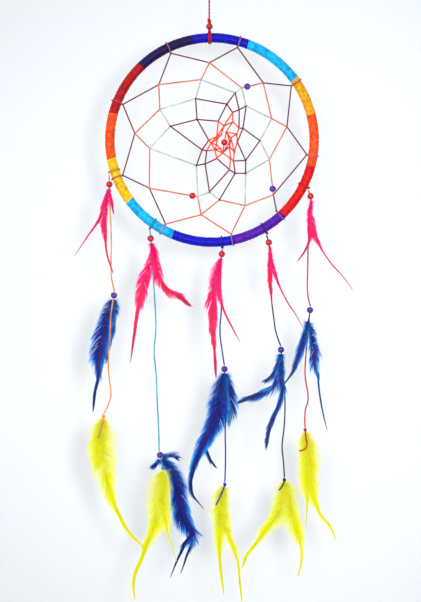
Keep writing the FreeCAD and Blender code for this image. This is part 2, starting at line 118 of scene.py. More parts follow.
# ---- the hanging threads ----
# hitch is an angle on the hoop, and bead how far the red bead is below the top. upper is a route
# in (x, z) steps from the strand's top, lower from its bend and tail from its end
STRANDS = {
    1: {"hitch": 197.5, "bead": 9.2, "thread": "thread_orange",
        "upper": [(0, 0), (0.4, -30), (2.3, -60), (1.4, -85.5), (2.2, -99.2), (5.1, -109.3)],
        "lower": [(-4.0, -20.2), (-4.1, -43.6), (-6.4, -62.2), (-5.3, -81.7), (-2.0, -99.7),
                  (-10.4, -114.2)],
        "tail": [(-0.6, -9.5), (-5.2, -22.3)]},
    2: {"hitch": 234.8, "bead": 7.6, "thread": "thread_turquoise",
        "upper": [(0, 0), (1.4, -18.9), (2.9, -43.2), (5.1, -75.0), (5.7, -95.5), (3.1, -113.3),
                  (5.8, -132.0), (6.4, -157.2), (8.1, -182.4), (8.5, -206.7)],
        "lower": [(3.3, -13.5)],
        "tail": [(0.4, -6.5)]},
    3: {"hitch": 275.5, "bead": 4.4, "thread": "thread_indigo",
        "upper": [(0, 0), (-1.7, -14.4), (-1.6, -35.4), (-0.6, -56.2), (-2.8, -75.9),
                  (-0.4, -93.6), (1.9, -108.1)],
        "lower": [(0.4, -18.3), (1.9, -37.8), (0.5, -61.2), (1.4, -85.8), (0.4, -108.8)],
        "tail": [(-1.7, -9.3), (-8.4, -21.5)]},
    4: {"hitch": 300.5, "bead": 7.1, "thread": "thread_dark",
        "upper": [(0, 0), (3.4, -10.5), (2.2, -25.7), (3.5, -51.9), (6.6, -76.2), (8.5, -92.1),
                  (13.4, -103.7)],
        "lower": [(0.6, -16.6), (3.3, -36.1), (4.1, -56.1), (3.2, -76.6), (0.6, -93.6),
                  (2.7, -108.6), (3.3, -122.9)],
        "tail": [(-1.1, -8.2), (-5.2, -12.0)]},
    5: {"hitch": 333.5, "bead": 5.9, "thread": "thread_red",
        "upper": [(0, 0), (3.5, -10.4), (1.5, -26.9), (-0.4, -47.9), (-0.6, -71.4),
                  (-1.3, -90.9), (-0.2, -101.4), (1.8, -108.3)],
        "lower": [(-1.6, -15.1), (-3.0, -33.1), (-4.8, -52.1), (-5.2, -67.1), (-1.0, -86.1),
                  (-6.1, -99.1), (-4.9, -112.9)],
        "tail": [(0.3, -8.2), (2.2, -16.5), (-0.2, -21.2), (-5.8, -21.8)]},
}

# ---- the feathers: (x, z, half width) along each one's quill, from where it is tied ----
FEATHERS = {
    "pink_feathers_1": [
        [(0, 0, 1), (-2, -10, 2.75), (-4, -21, 3.5), (-5, -32, 3), (-4, -45, 1.5), (-2, -62, 1),
         (3, -78, 0.5)],
        [(-1, -1, 1), (-5, -14, 2), (-8, -26, 1.5), (-20, -45, 0.75), (-32, -63, 0.25)],
        [(0, 0, 0.75), (2, -12, 1.5), (3, -18, 1), (4, -24, 0.25)],
    ],
    "blue_feathers_1": [
        [(0, 0, 2), (-4, -7, 6), (-7, -18, 7.5), (-10, -29, 8.5), (-12, -41, 8), (-14, -54, 4.25),
         (-14, -69, 2), (-17, -87, 1.5), (-19, -105, 0.25)],
        [(0, 0, 2), (-1, -9, 4.75), (-4, -20, 5), (-6, -34, 4.25), (-9, -50, 2), (-12, -73, 0.25)],
        [(0, 0, 2), (2, -7, 3.75), (0, -18, 3.75), (-3, -34, 2.75), (-7, -60, 0.25)],
    ],
    "yellow_feathers_1": [
        [(0, 0, 2), (-1, -10, 9.25), (-1, -23, 12.5), (0, -38, 11.75), (2, -53, 7), (6, -70, 4.25),
         (13, -87, 3.5), (23, -105, 2.5), (38, -121, 1)],
        [(0, 0, 2), (-3, -12, 7.5), (-6, -27, 7.5), (-6, -44, 1)],
    ],
    "pink_feathers_2": [
        [(0, 0, 1.5), (2, -8, 4.25), (0, -18, 5), (-4, -29, 6), (-7, -40, 5.5), (-10, -53, 2.5),
         (-13, -69, 2), (-16, -90, 1.25), (-19, -112, 0.25)],
        [(0, 0, 1.5), (3, -10, 4.25), (5, -21, 4.75), (7, -32, 4.25), (14, -43, 4.25), (25, -50, 2.75),
         (36, -59, 0.5)],
    ],
    "blue_feathers_2": [
        [(0, 0, 2), (8, -8, 6.5), (14, -20, 8), (17, -36, 8.5), (19, -49, 8), (23, -60, 7),
         (28, -68, 3.75), (23, -79, 1.75), (17, -92, 1), (9, -111, 0.25)],
        [(0, 0, 2), (8, -9, 5.5), (13, -22, 7.5), (16, -37, 8), (20, -52, 7.5), (25, -64, 5.5),
         (28, -77, 2), (24, -92, 1), (19, -107, 0.25)],
        [(0, -1, 1.5), (-4, -5, 2.5), (-8, -9, 0.5)],
        [(1, 0, 2), (8, 2, 3.5), (15, 0, 1)],
    ],
    "yellow_feathers_2": [
        [(0, 0, 2), (-2, -8, 8.5), (-4, -20, 11), (-4, -31, 9.75), (-5, -42, 6.5), (-8, -53, 4.25),
         (-13, -65, 4), (-19, -81, 3.5), (-25, -96, 2.75), (-27, -108, 2), (-26, -120, 0.5)],
        [(0, 0, 1.5), (1, -12, 5.5), (0, -27, 6), (2, -43, 3.75), (5, -59, 1.5), (9, -72, 1),
         (13, -85, 0.25)],
    ],
    "pink_feathers_3": [
        [(0, 0, 1.5), (-4, -8, 5), (-6, -22, 5.5), (-8, -36, 4.75), (-8, -51, 4), (-8, -66, 3.5),
         (-7, -79, 1.5), (-6, -94, 1.75), (-5, -112, 0.25)],
        [(0, 0, 1.5), (-2, -10, 3.25), (-3, -23, 3.25), (-1, -38, 1.5), (4, -53, 1), (10, -65, 0.75),
         (17, -78, 0.25)],
    ],
    "blue_feathers_3": [
        [(0, 0, 2), (-3, -10, 8.5), (-5, -22, 11.25), (-6, -36, 10.25), (-11, -49, 8), (-17, -61, 5.5),
         (-23, -74, 3.75), (-28, -87, 2.5), (-31, -101, 2), (-30, -112, 1), (-20, -127, 0.25)],
        [(0, 0, 2), (-2, -12, 7.5), (-4, -25, 9.25), (-6, -38, 8.5), (-12, -53, 5.5), (-17, -65, 2.25),
         (-15, -77, 1.5), (-8, -89, 0.25)],
        [(0, 0, 2), (3, -9, 5), (5, -20, 6.5), (5, -30, 6.5), (3, -42, 1)],
    ],
    "yellow_feathers_3": [
        [(0, 0, 2), (-4, -9, 8), (-5, -18, 9), (-5, -30, 5.5), (-5, -43, 3.75), (-5, -59, 2.75),
         (-4, -76, 2.5), (-1, -100, 0.5)],
        [(0, 0, 2), (-2, -11, 5.5), (-2, -24, 6.5), (1, -40, 3.25), (7, -55, 2.5), (12, -71, 2.25),
         (14, -89, 2), (16, -110, 0.5)],
    ],
    "pink_feathers_4": [
        [(0, 0, 1), (0, -10, 2.25), (0, -22, 2.5), (0, -33, 2), (1, -44, 1), (2, -55, 0.25)],
        [(0, 0, 1), (1, -10, 1.75), (3, -20, 2), (7, -33, 1), (16, -52, 0.75), (25, -66, 0.5),
         (31, -77, 0.25)],
    ],
    "blue_feathers_4": [
        [(0, 0, 1.5), (-1, -9, 4.25), (-2, -18, 4.75), (-5, -28, 4.25), (-12, -34, 4.25),
         (-21, -39, 3.75), (-30, -42, 2), (-40, -46, 0.75)],
        [(0, 0, 1.5), (0, -11, 3.75), (0, -22, 3.75), (1, -33, 3), (-1, -44, 2.5), (-6, -57, 2.75),
         (-11, -70, 2.5), (-14, -87, 0.75)],
        [(0, 0, 1), (-4, -11, 2.25), (-8, -20, 2.75), (-15, -26, 1)],
    ],
    "yellow_feathers_4": [
        [(0, 0, 2), (-2, -10, 6.5), (-3, -21, 8.5), (-7, -32, 6.5), (-15, -42, 4.25), (-25, -56, 3.25),
         (-34, -68, 2.5), (-39, -80, 0.75)],
        [(0, 0, 2), (4, -10, 7.5), (5, -21, 9), (7, -32, 7.5), (11, -44, 4.25), (15, -58, 2.5),
         (16, -72, 2), (13, -89, 0.5)],
    ],
    "pink_feathers_5": [
        [(0, 0, 1), (-1, -10, 3), (0, -20, 3.25), (2, -31, 2.5), (7, -42, 1), (17, -58, 0.75),
         (30, -73, 0.5), (38, -84, 0.25)],
        [(0, 0, 1), (-2, -12, 2.5), (-2, -25, 2.5), (-2, -36, 1.5), (-6, -47, 1), (-12, -56, 0.5)],
    ],
    "blue_feathers_5": [
        [(0, 0, 0.25), (-1, -8, 1.5), (1, -16, 4.25), (3, -26, 5.5), (4, -36, 5), (4, -44, 2.75),
         (7, -56, 1.25), (9, -73, 1), (12, -91, 0.75), (16, -108, 0.25)],
        [(0, 0, 0.25), (-2, -8, 1.5), (-4, -18, 3.5), (-7, -29, 4), (-11, -41, 2.75), (-16, -54, 1.25),
         (-24, -66, 0.5)],
    ],
    "yellow_feathers_5": [
        [(0, 0, 2), (2, -10, 6.5), (4, -23, 9), (4, -37, 8.5), (5, -51, 5.5), (9, -64, 3.25),
         (14, -76, 2.5), (22, -87, 2), (29, -101, 0.5)],
        [(0, 0, 1.5), (1, -11, 5.5), (2, -24, 8), (2, -37, 7.5), (2, -51, 3.75), (2, -68, 1.75),
         (1, -88, 0.5)],
    ],
}


# ---- small helpers ----
def to_m(points):
    """Millimetres to metres, as an array."""
    return np.asarray(points, float) * MM


def unit(v):
    """v at length 1."""
    v = np.asarray(v, float)
    return v / max(np.linalg.norm(v), 1e-9)


def units(vectors):
    """Each vector of an array at length 1."""
    return vectors / np.maximum(np.linalg.norm(vectors, axis=-1, keepdims=True), 1e-6)


def sides_of(axis):
    """Two directions at right angles to an axis and to each other."""
    guess = np.array([0, 1, 0]) if abs(axis[1]) < 0.9 else np.array([1, 0, 0])
    side = unit(np.cross(axis, guess))
    return side, np.cross(axis, side)


def hoop_point(angle, radius):
    """A point at this angle and distance from the hoop's centre."""
    a = math.radians(angle)
    return np.array([HOOP_X + radius * math.cos(a), 0.0, HOOP_Z + radius * math.sin(a)])


def steps_from(origin, steps):
    """Points from (x, z) steps that are all measured from origin."""
    return [np.array([origin[0] + x, origin[1], origin[2] + z]) for x, z in steps]


def add_mesh(name, verts, faces, materials, uvs=None, slots=None, tone=None, smooth=True):
    """A mesh object from millimetre points. uvs are per corner, slots per face, tone per point."""
    mesh = bpy.data.meshes.new(name)
    mesh.from_pydata(to_m(verts).tolist(), [], [tuple(map(int, f)) for f in faces])
    for m in materials:
        mesh.materials.append(m)
    if slots is not None:
        mesh.polygons.foreach_set("material_index", np.asarray(slots, np.int32))
    if uvs is not None:
        layer = mesh.uv_layers.new(name="UVMap")
        layer.data.foreach_set("uv", np.asarray(uvs, np.float32).ravel())
    if tone is not None:
        attribute = mesh.attributes.new("tone", "FLOAT", "POINT")
        attribute.data.foreach_set("value", np.asarray(tone, np.float32))
    mesh.polygons.foreach_set("use_smooth", np.full(len(mesh.polygons), smooth))
    mesh.update()
    obj = bpy.data.objects.new(name, mesh)
    bpy.context.scene.collection.objects.link(obj)
    return obj


def add_piece(name, stands_for, body, verts, faces, materials, uvs, slots=None, tone=None):
    """A visible piece that takes a CAD node's place and moves with its body."""
    obj = add_mesh(name, verts, faces, [MATERIALS[m] for m in materials], uvs, slots, tone)
    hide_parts(stands_for)
    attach(obj, body)
    return obj


def distances(points):
    """Each point's distance along the line from its first point."""
    gaps = np.linalg.norm(np.diff(points, axis=0), axis=1)
    return np.concatenate([[0], np.cumsum(gaps)])


def resample(points, step):
    """The same line with points about step apart."""
    points = np.asarray(points, float)
    at = distances(points)
    count = max(2, int(round(at[-1] / step)) + 1)
    want = np.linspace(0, at[-1], count)
    return np.stack([np.interp(want, at, points[:, k]) for k in range(3)], axis=1)


def sides_along(points, closed=False):
    """Two directions across a line at each of its points, which turn as little as possible."""
    if closed:
        tangents = np.roll(points, -1, axis=0) - np.roll(points, 1, axis=0)
    else:
        tangents = np.gradient(points, axis=0)
    tangents = units(tangents)
    guess = np.array([0.0, 1.0, 0.0])
    if abs(tangents[0] @ guess) > 0.9:
        guess = np.array([1.0, 0.0, 0.0])
    sides = [unit(guess - tangents[0] * (guess @ tangents[0]))]
    for t in tangents[1:]:
        sides.append(unit(sides[-1] - t * (sides[-1] @ t)))
    sides = np.array(sides)
    return sides, np.cross(tangents, sides)


def skin(count, around, at, closed, inside_out=False):
    """Faces and corner UVs between rings of points, where at says how far along each ring is."""
    faces, uvs = [], []
    for i in range(count if closed else count - 1):
        k = (i + 1) % count
        for j in range(around):
            n = (j + 1) % around
            v0, v1 = j / around, (j + 1) / around
            corners = [(i * around + j, (at[i], v0)), (i * around + n, (at[i], v1)),
                       (k * around + n, (at[i + 1], v1)), (k * around + j, (at[i + 1], v0))]
            if inside_out:
                corners = corners[:1] + corners[:0:-1]
            faces.append(tuple(c[0] for c in corners))
            uvs += [c[1] for c in corners]
    return faces, uvs


def tube(points, radius, ply=3, pitch=3.2, depth=0.16, around=12, taper=None, closed=False):
    """Points, faces and corner UVs of a twisted thread. ply 0 is plain. taper scales each ring."""
    points = np.asarray(points, float)
    side, up = sides_along(points, closed)
    along = distances(points)
    angle = np.linspace(0, 2 * math.pi, around, endpoint=False)
    twist = 2 * math.pi * along / pitch
    if ply:
        bulge = np.abs(np.cos((angle[None, :] - twist[:, None]) * ply / 2))
        r = radius * (1 - depth + depth * bulge)
    else:
        r = np.full((len(points), around), float(radius))
    if taper is not None:
        r = r * np.asarray(taper)[:, None]
    rings = (points[:, None, :] + r[:, :, None] * (np.cos(angle)[None, :, None] * side[:, None, :]
             + np.sin(angle)[None, :, None] * up[:, None, :]))
    verts = rings.reshape(-1, 3)
    count = len(points)
    faces, uvs = skin(count, around, np.append(along, 2 * along[-1] - along[-2]), closed)
    if not closed:
        for ring, inward in ((0, True), (count - 1, False)):
            centre = len(verts)
            verts = np.vstack([verts, points[ring][None, :]])
            for j in range(around):
                a, b = ring * around + j, ring * around + (j + 1) % around
                faces.append((centre, b, a) if inward else (centre, a, b))
                uvs += [(along[ring], 0.5)] * 3
    return verts, faces, uvs


class Parts:
    """Collects shells that become one piece."""

    def __init__(self):
        self.verts, self.faces, self.uvs, self.slots, self.tones = [], [], [], [], []
        self.count = 0

    def add(self, shell, slot=0, tone=None):
        """Adds a shell of points, faces and corner UVs, all of it in one material slot."""
        verts, faces, uvs = shell
        self.verts.append(np.asarray(verts, float))
        self.faces += [tuple(i + self.count for i in f) for f in faces]
        self.uvs += uvs
        self.slots += [slot] * len(faces)
        if tone is not None:
            self.tones.append(tone)
        self.count += len(verts)

    def make(self, stands_for, how, body, materials):
        """The piece itself, which is named after its node and how it is made."""
        tone = np.concatenate(self.tones) if self.tones else None
        add_piece(stands_for + how, stands_for, body, np.vstack(self.verts), self.faces, materials,
                  self.uvs, self.slots, tone)


# ---- materials ----
def rgb(colour):
    """A linear colour from sRGB hex text, a grey value, or a colour that is linear already."""
    if isinstance(colour, str):
        parts = [int(colour[i:i + 2], 16) / 255 for i in (0, 2, 4)]
        return tuple(c / 12.92 if c <= 0.04045 else ((c + 0.055) / 1.055) ** 2.4 for c in parts)
    return (colour,) * 3 if isinstance(colour, float) else colour


def shade(colour, factor):
    """A darker or lighter version of a colour."""
    return tuple(min(1.0, c * factor) for c in rgb(colour))


class Look:
    """A material with its Principled shader, whose plain values are set on it."""

    def __init__(self, name, **values):
        self.material = bpy.data.materials.new(name)
        self.material.use_nodes = True
        self.tree = self.material.node_tree
        self.shader = self.tree.nodes["Principled BSDF"]
        self.feed(self.shader, {key.replace("_", " "): v for key, v in values.items()})

    def feed(self, target, inputs):
        """Links each input of a node to an output, or sets it to a value."""
        for key, value in inputs.items():
            if isinstance(value, bpy.types.NodeSocket):
                self.tree.links.new(value, target.inputs[key])
            else:
                target.inputs[key].default_value = value

    def node(self, kind, inputs, **settings):
        """A new node's outputs."""
        made = self.tree.nodes.new("ShaderNode" + kind)
        for key, value in settings.items():
            setattr(made, key, value)
        self.feed(made, inputs)
        return made.outputs

    def uv(self):
        """The place on the mesh's own UV map."""
        return self.node("UVMap", {}, uv_map="UVMap")["UV"]

    def place(self):
        """The place in the object."""
        return self.node("TexCoord", {})["Object"]

    def stretched(self, uv, scale, turn=0.0):
        """A place on the UV map, scaled more one way than the other."""
        return self.node("Mapping", {"Vector": uv, "Scale": scale,
                                     "Rotation": (0.0, 0.0, turn)})["Vector"]

    def noise(self, place, scale, detail, **more):
        """Noise at a place."""
        return self.node("TexNoise", {"Vector": place, "Scale": scale, "Detail": detail,
                                      **more})["Fac"]

    def ramp(self, source, *stops):
        """A colour ramp from (position, colour) stops."""
        made = self.node("ValToRGB", {"Fac": source})["Color"]
        elements = made.node.color_ramp.elements
        while len(elements) < len(stops):
            elements.new(0.5)
        for element, (place, colour) in zip(elements, stops):
            element.position = place
            element.color = (*rgb(colour), 1.0)
        return made

    def times(self, one, other):
        """The product of two colours."""
        return self.node("Mix", {"Factor": 1.0, "A": one, "B": other}, data_type="RGBA",
                         blend_type="MULTIPLY")["Result"]

    def bump(self, height, strength, distance):
        """Raises the surface a little where height is high."""
        normal = self.node("Bump", {"Height": height, "Strength": strength, "Distance": distance})
        self.feed(self.shader, {"Normal": normal["Normal"]})

    def mix_with(self, share, other):
        """Mixes the shader with another one over the material's surface."""
        mixed = self.node("MixShader", {0: share, 1: self.shader.outputs["BSDF"], 2: other})
        self.feed(self.tree.nodes["Material Output"], {"Surface": mixed["Shader"]})


def ribbon_material(name, colour, light):
    """Satin ribbon: fine threads along each turn, patches of painted fold shade and painted satin
    highlight, and a tone of its own in each turn.
    """
    look = Look(name, Roughness=0.38, Specular_IOR_Level=0.16)
    uv = look.uv()
    threads = look.noise(look.stretched(uv, (22.0, 2.0, 1.0)), 1.0, 3.0, Roughness=0.6)
    # Painted shade and painted highlight: noise darkens the colour in patches as fold shade and lifts it
    # towards light as satin sheen
    fold_shade_and_sheen = look.noise(look.place(), 330.0, 3.0, Roughness=0.6)
    tone = look.ramp(fold_shade_and_sheen, (0.3, shade(colour, 0.62)), (0.5, colour), (0.72, light))
    fine = look.ramp(threads, (0.25, 0.72), (0.7, 1.0))
    along = look.node("SeparateXYZ", {"Vector": uv})["X"]
    turn = look.node("Math", {0: along}, operation="FLOOR")[0]
    own = look.node("TexWhiteNoise", {"W": turn}, noise_dimensions="1D")["Value"]
    each = look.ramp(own, (0.0, 0.8), (1.0, 1.0))
    look.feed(look.shader, {"Base Color": look.times(look.times(tone, fine), each)})
    look.bump(threads, 0.45, 0.0003)
    return look.material


def thread_material(name, colour, roughness):
    """Waxed thread: fine fibres that wind round it, and slow changes of tone along it."""
    look = Look(name, Roughness=roughness, Specular_IOR_Level=0.2)
    fibres = look.noise(look.stretched(look.uv(), (1.6, 14.0, 1.0), 0.35), 1.6, 3.0, Roughness=0.6)
    slow = look.noise(look.place(), 90.0, 2.0)
    tone = look.ramp(slow, (0.35, shade(colour, 0.75)), (0.5, colour), (0.68, shade(colour, 1.5)))
    fine = look.ramp(fibres, (0.3, 0.6), (0.65, 1.0))
    look.feed(look.shader, {"Base Color": look.times(tone, fine)})
    look.bump(fibres, 0.4, 0.0001)
    return look.material


def bead_material(name, colour, light, transmission):
    """Moulded plastic bead: faint swirls, small scuffs that dull the gloss."""
    look = Look(name, Specular_IOR_Level=0.4, IOR=1.49, Coat_Weight=0.25, Coat_Roughness=0.06,
                Transmission_Weight=transmission)
    place = look.place()
    swirl = look.noise(place, 260.0, 2.0, Distortion=1.5)
    scuffs = look.noise(place, 1800.0, 4.0)
    tone = look.ramp(swirl, (0.35, shade(colour, 0.7)), (0.55, colour), (0.8, light))
    dull = look.ramp(scuffs, (0.4, 0.1), (0.75, 0.3))
    look.feed(look.shader, {"Base Color": tone, "Roughness": dull})
    look.bump(scuffs, 0.08, 0.0001)
    return look.material


def feather_material(name, see_through, roughness, stops, tip=None):
    """Dyed feather: its colour runs from the quill out to the barbs' ends, and each barb differs."""
    look = Look(name, Roughness=roughness, Specular_IOR_Level=0.12)
    uv = look.uv()
    split = look.node("SeparateXYZ", {"Vector": uv})
    own = look.node("Attribute", {}, attribute_name="tone")["Fac"]
    place = look.node("Math", {0: own, 1: 0.45, 2: split["Y"]}, operation="MULTIPLY_ADD")[0]
    tone = look.ramp(look.node("Math", {0: place, 1: 0.22}, operation="SUBTRACT")[0], *stops)
    if tip is not None:
        tone = look.times(tone, look.ramp(split["X"], *tip))
    streaks = look.noise(look.stretched(uv, (260.0, 9.0, 1.0)), 1.0, 2.0)
    dyed = look.times(tone, look.ramp(streaks, (0.3, 0.75), (0.65, 1.0)))
    look.feed(look.shader, {"Base Color": dyed})
    look.mix_with(see_through, look.node("BsdfTranslucent", {"Color": dyed})["BSDF"])
    return look.material


def grain_look(name, scale, stops, **values):
    """A matt look whose colour changes slowly from place to place."""
    look = Look(name, **values)
    look.feed(look.shader, {"Base Color": look.ramp(look.noise(look.place(), scale, 4.0), *stops)})
    return look


# The ribbon's colour and the colour of its painted satin highlight
RIBBON_COLOURS = {
    "ribbon_red": ("dc0004", "ff1008"), "ribbon_deep_red": ("b4000a", "d80410"),
    "ribbon_orange": ("ff4a04", "ff7428"), "ribbon_amber": ("f8a400", "ffc400"),
    "ribbon_yellow": ("ffc000", "ffe400"), "ribbon_cyan": ("00aef0", "00d4ff"),
    "ribbon_blue": ("0400b4", "0804e0"), "ribbon_dark_violet": ("140040", "2c0070"),
    "ribbon_violet": ("5000a4", "7010c4"),
}
# Roughness of the waxed threads, of the cord and of the quills, and their colours
THREAD_COLOURS = {
    0.45: {"web_mauve": "741c38", "web_orange": "e0683c", "web_grey": "b4bcb0",
           "web_plum": "741030", "web_red": "f84008", "web_pale": "a85c78",
           "thread_orange": "e48438", "thread_turquoise": "1c9ca8", "thread_indigo": "1c1c8c",
           "thread_dark": "2c1030", "thread_red": "b80c14"},
    0.6: {"cord_red": "a80c18"},
    0.3: {"quill_pink": "d00850", "quill_blue": "040a50", "quill_yellow": "f0e020"},
}
MATERIALS = {
    "bead_red": bead_material("bead_red", "b80004", "d41008", 0.0),
    "bead_violet": bead_material("bead_violet", "44209c", "8460d4", 0.3),
    "pink": feather_material(
        "pink", 0.3, 0.38, [(0.0, "ec005c"), (0.3, "fc006c"), (0.75, "ff049c"), (1.0, "ff40b8")],
        [(0.15, 1.0), (0.5, (1.0, 0.7, 0.5)), (1.0, (0.55, 0.35, 0.3))]),
    "blue": feather_material(
        "blue", 0.14, 0.38, [(0.0, "00065c"), (0.4, "001288"), (0.62, "0048b4"), (0.8, "0084dc"),
                             (1.0, "20b0f0")], [(0.5, 1.0), (1.0, 0.3)]),
    "yellow": feather_material(
        "yellow", 0.4, 0.55, [(0.0, "ecec00"), (0.4, "f6f600"), (1.0, "feff70")]),
}
for colour_name, (main, highlight) in RIBBON_COLOURS.items():
    MATERIALS[colour_name] = ribbon_material(colour_name, main, highlight)
for thread_roughness, thread_colours in THREAD_COLOURS.items():
    for colour_name, main in thread_colours.items():
        MATERIALS[colour_name] = thread_material(colour_name, main, thread_roughness)

# The ring inside the wrapping keeps its CAD mesh
cane = frame["nodes"]["hoop_core"].data.materials
cane.clear()
cane.append(grain_look("cane", 400.0, [(0.3, "8c6238"), (0.7, "c89c64")], Roughness=0.6).material)


# ---- the camera ----
# The view is this high where the hoop is, and its middle is this far from the hoop's
VIEW_H = 562.3
VIEW_DX = -1.4
VIEW_DZ = -150.4
CAMERA_FAR = 2000.0
camera_data = bpy.data.cameras.new("camera")
camera_data.sensor_width = 36.0
camera_data.lens = camera_data.sensor_width * CAMERA_FAR / VIEW_H
camera = bpy.data.objects.new("camera", camera_data)
bpy.context.scene.collection.objects.link(camera)
camera.location = to_m([HOOP_X + VIEW_DX, -CAMERA_FAR, HOOP_Z + VIEW_DZ])
camera.rotation_euler = (math.radians(90), 0, 0)
bpy.context.scene.camera = camera


# ---- cords and threads ----
def nurbs_line(points):
    """The points read from a smooth NURBS line whose control points are the route's."""
    data = bpy.data.curves.new("route", "CURVE")
    data.dimensions = "3D"
    data.resolution_u = 24
    spline = data.splines.new("NURBS")
    spline.points.add(len(points) - 1)
    for place, point in zip(spline.points, to_m(points)):
        place.co = (*point, 1.0)
    spline.order_u = 3
    spline.use_endpoint_u = True
    guide = bpy.data.objects.new("route", data)
    bpy.context.scene.collection.objects.link(guide)
    bpy.context.view_layer.update()
    mesh = bpy.data.meshes.new_from_object(guide)
    line = np.array([v.co for v in mesh.vertices]) / MM
    bpy.data.objects.remove(guide)
    bpy.data.curves.remove(data)
    bpy.data.meshes.remove(mesh)
    return line


def free_cord(name, route, diameter, material, body, ply=3, depth=0.16):
    """A plied cord along the route's smooth line, which stands for the CAD node of that name."""
    line = resample(nurbs_line(route), diameter * 0.3)
    pitch = diameter * (3.4 if ply == 3 else 4.2)
    verts, faces, uvs = tube(line, diameter / 2, ply, pitch, depth)
    obj = add_piece(name + "_cord", name, body, verts, faces, [material], uvs)


# ---- knots, beads ----
def coil(centre, axis, radius, wire_r, turns, pitch, lean=0.0, start=0.0):
    """A short coil of thread round an axis."""
    axis = unit(axis)
    side, up = sides_of(axis)
    t = np.linspace(0, turns, max(12, int(turns * 18)))
    a = 2 * math.pi * t + start
    rise = (t - turns / 2) * pitch
    points = (np.asarray(centre) + radius * (np.cos(a)[:, None] * side + np.sin(a)[:, None] * up)
              + (rise + lean * np.cos(a))[:, None] * axis)
    return tube(points, wire_r, 3, wire_r * 7, 0.14, 10)


def wound_knot(parts, centre, axis, size, wire_r):
    """An overhand knot: a slanted coil of thread, one that crosses it, and one inside."""
    axis = unit(axis)
    across = unit(np.cross(axis, [0.3, 1.0, 0.2]))
    parts.add(coil(centre, axis, size / 2 - wire_r, wire_r, 2.3, wire_r * 1.75, wire_r * 0.7))
    parts.add(coil(centre, axis + across * 0.9, size / 2 - wire_r * 0.9, wire_r, 1.2,
                   wire_r * 1.2, 0.0, 2.0))
    parts.add(coil(centre, axis, size / 5, wire_r, 1.4, wire_r * 2.2))


def ring_round_hoop(angle, wire_r, shift=0.0, slant=0.0):
    """One turn of thread round the wrapping."""
    a = math.radians(angle)
    along = np.array([-math.sin(a), 0, math.cos(a)])
    out = np.array([math.cos(a), 0, math.sin(a)])
    t = np.linspace(0, 2 * math.pi, 64, endpoint=False)
    radius = TUBE_R + SEAT + wire_r
    points = (hoop_point(angle, HOOP_R) + along * (shift + slant * np.sin(t))[:, None]
              + radius * (np.cos(t)[:, None] * out + np.sin(t)[:, None] * np.array([0, 1, 0])))
    return tube(points, wire_r, 3, wire_r * 6.3, 0.16, 10, closed=True)


def bead(name, centre, axis, diameter, material, body):
    """A round bead with a hole whose rims are rounded, which stands for the CAD node."""
    axis = unit(axis)
    side, up = sides_of(axis)
    r, hole = diameter / 2, BEAD_HOLE_D / 2
    rim, sunk, around = 0.35, 0.02, 40
    start = math.asin((hole + rim) / r)
    outer = [(r * math.sin(a), r * math.cos(a)) for a in np.linspace(start, math.pi - start, 26)]
    top = outer[0][1]
    lip = [(hole + rim - rim * math.sin(a), top - rim + rim * math.cos(a) - sunk)
           for a in np.linspace(0, math.pi / 2, 6)][1:]
    inner = [(hole, (top - rim) * k) for k in (0.5, 0.0, -0.5)]
    loop = outer + [(x, -z) for x, z in lip + inner] + lip[::-1]
    turn = np.linspace(0, 2 * math.pi, around, endpoint=False)
    verts = [np.asarray(centre) + x * (math.cos(t) * side + math.sin(t) * up) + z * axis
             for x, z in loop for t in turn]
    count = len(loop)
    at = np.arange(count + 1) / count
    faces, uvs = skin(count, around, at, closed=True, inside_out=True)
    add_piece(name + "_moulded", name, body, np.array(verts), faces, [material], uvs)


# ---- the eye, the cord and its hitch ----
EYE_KNOT_H = 5.0
EYE_KNOT_FOOT = SWING_Z + CORD_D / 2 + JOINT_GAP
# The eye's route from its knot up one side, then its crown
EYE_SIDE = [(0.95, 0), (1.5, 3.6), (5.2, 7.6), (7.0, 13.0), (5.2, 18.2)]
EYE_CROWN = 20.4
CORD_SLACK = 0.12
# How far the pieces at the top of the hoop are from its centre
TOP_KNOT_OUT = 111.2
TOP_BEAD_OUT = 106.1
HITCH_OUT = 101.6
SHANK_OUT = (101.0, 110.0)


